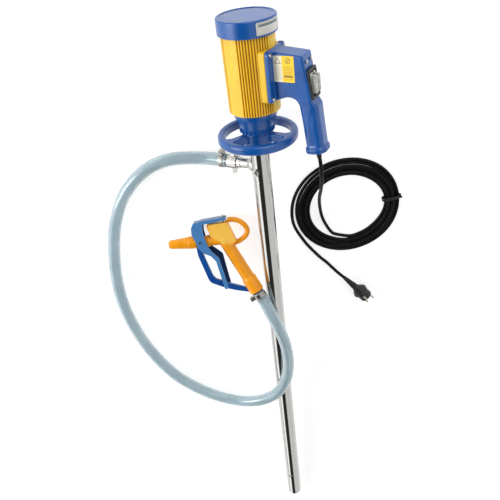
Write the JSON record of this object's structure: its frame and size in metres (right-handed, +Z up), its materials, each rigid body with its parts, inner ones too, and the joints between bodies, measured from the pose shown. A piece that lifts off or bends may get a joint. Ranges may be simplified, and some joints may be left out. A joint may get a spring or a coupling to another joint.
{
  "type": "electric drum pump",
  "caption": "Electric drum pump lying on its handwheel and foot, with pistol-grip motor, stainless pump tube, clear hose with trigger nozzle, and a coiled mains lead with plug.",
  "frame": {"origin": "on the floor, under the middle of the box round the pump and nozzle", "axes": "+Y runs along the pump from the foot to the motor, +X is towards the pistol grip and lead, +Z is up from the floor"},
  "size_m": [0.7378, 1.5158, 0.174],
  "materials": {
    "stainless_polished": "polished stainless steel tube, drawn along its length",
    "stainless_plain": "turned stainless steel",
    "ptfe": "white fluoropolymer",
    "black_rubber": "matt black rubber",
    "clamp_steel": "stamped stainless steel band",
    "blue_paint": "blue enamel on cast aluminium",
    "yellow_paint": "yellow enamel on cast aluminium",
    "lamination_steel": "stacked electrical steel",
    "copper": "enamelled copper",
    "carbon": "pressed carbon",
    "black_plastic": "black moulded plastic",
    "screw_steel": "zinc plated steel",
    "silver_label": "silver foil plate with a plain dark band",
    "printed_label": "half white, half yellow film label",
    "grey_boot": "translucent grey silicone boot",
    "clear_hose": "translucent pale blue-grey hose",
    "amber_plastic": "orange-yellow moulded plastic",
    "blue_plastic": "blue moulded plastic",
    "plated_brass": "nickel plated brass pins"
  },
  "bodies": {
    "pump": {"pump_tube": "stainless_polished", "inner_tube": "stainless_plain", "shaft_bushes": "ptfe", "guide_vanes": "stainless_plain", "shaft_seal": "black_rubber", "tube_collar": "stainless_plain", "discharge_branch": "stainless_plain", "bonding_screw": "stainless_plain", "hose_tail": "stainless_plain", "hose_clamp_pump": "clamp_steel", "motor_flange": "blue_paint", "motor_housing": "yellow_paint", "stator": "lamination_steel", "field_windings": "copper", "carbon_brushes": "carbon", "brush_ring": "black_plastic", "motor_bearings": "stainless_plain", "top_cap": "blue_paint", "cap_screws": "screw_steel", "name_plate": "silver_label", "handle": "blue_paint", "handle_screws": "screw_steel", "warning_label": "printed_label", "switch_bezel": "black_plastic", "switch_block": "black_plastic", "switch_screws": "screw_steel", "grip_end_cap": "blue_paint", "cable_gland": "black_rubber", "hose": "clear_hose", "hose_end_pump": "clear_hose", "hose_end_nozzle": "clear_hose", "hose_clamp_nozzle": "clamp_steel", "nozzle_body": "amber_plastic", "nozzle_tail": "black_plastic", "spout": "amber_plastic", "hanging_loop": "amber_plastic", "trigger_guard": "blue_plastic", "lever_pin": "screw_steel", "mains_lead": "black_rubber", "lead_coil": "black_rubber", "lead_to_plug": "black_rubber", "coil_tie": "black_plastic", "plug_body": "black_rubber", "plug_pins": "plated_brass"},
    "handwheel": {"handwheel": "blue_paint"},
    "pump_rotor": {"pump_shaft": "stainless_plain", "shaft_driver": "stainless_plain", "impeller": "ptfe"},
    "motor_rotor": {"motor_shaft": "stainless_plain", "armature": "lamination_steel", "commutator": "copper", "cooling_fan": "black_plastic"},
    "foot": {"foot_sleeve": "stainless_polished", "suction_strainer": "stainless_plain"},
    "rocker": {"rocker_boot": "grey_boot"},
    "union_nut": {"union_nut": "stainless_plain"},
    "clamp_screw_pump": {"clamp_screw_pump": "clamp_steel"},
    "clamp_screw_nozzle": {"clamp_screw_nozzle": "clamp_steel"},
    "lever": {"trigger_lever": "blue_plastic"},
    "valve": {"valve_stem": "stainless_plain"}
  },
  "joints": [
    {"name": "handwheel_turn", "type": "hinge", "parent": "pump", "child": "handwheel", "pos_m": [0.0474, 0.51245, 0.08525], "axis": [0, 0.9987, 0.0509], "continuous": true},
    {"name": "motor_spin", "type": "hinge", "parent": "pump", "child": "motor_rotor", "pos_m": [0.0474, 0.64128, 0.09182], "axis": [0, 0.9987, 0.0509], "continuous": true},
    {"name": "pump_spin", "type": "hinge", "parent": "pump", "child": "pump_rotor", "pos_m": [0.0474, -0.15768, 0.05106], "axis": [0, 0.9987, 0.0509], "continuous": true},
    {"name": "foot_twist", "type": "hinge", "parent": "pump", "child": "foot", "pos_m": [0.0474, -0.71296, 0.02274], "axis": [0, 0.9987, 0.0509], "range_deg": [-25, 0]},
    {"name": "rocker_tilt", "type": "hinge", "parent": "pump", "child": "rocker", "pos_m": [0.15946, 0.62912, 0.15086], "axis": [0.4695, 0.045, -0.8818], "range_deg": [-12, 0]},
    {"name": "union_turn", "type": "hinge", "parent": "pump", "child": "union_nut", "pos_m": [-0.01264, 0.44217, 0.0497], "axis": [-0.8829, 0.0239, -0.4689], "continuous": true},
    {"name": "pump_clamp_turn", "type": "hinge", "parent": "pump", "child": "clamp_screw_pump", "pos_m": [-0.03648, 0.46379, 0.03811], "axis": [0.4695, 0.045, -0.8818], "continuous": true},
    {"name": "nozzle_clamp_turn", "type": "hinge", "parent": "pump", "child": "clamp_screw_nozzle", "pos_m": [-0.0084, 0.09004, 0.09042], "axis": [0, 0.342, 0.9397], "continuous": true},
    {"name": "lever_squeeze", "type": "hinge", "parent": "pump", "child": "lever", "pos_m": [-0.1176, 0.23728, 0.03683], "axis": [0, 0.342, 0.9397], "range_deg": [0, 9], "stiffness_Nm_per_rad": 0.6},
    {"name": "valve_lift", "type": "slide", "parent": "pump", "child": "valve", "axis": [0, 0.9397, -0.342], "range_m": [0, 0.0105]}
  ],
  "couplings": [
    {"joint": "pump_spin", "follows": "motor_spin", "ratio": 1},
    {"joint": "valve_lift", "follows": "lever_squeeze", "m_per_rad": 0.066}
  ]
}
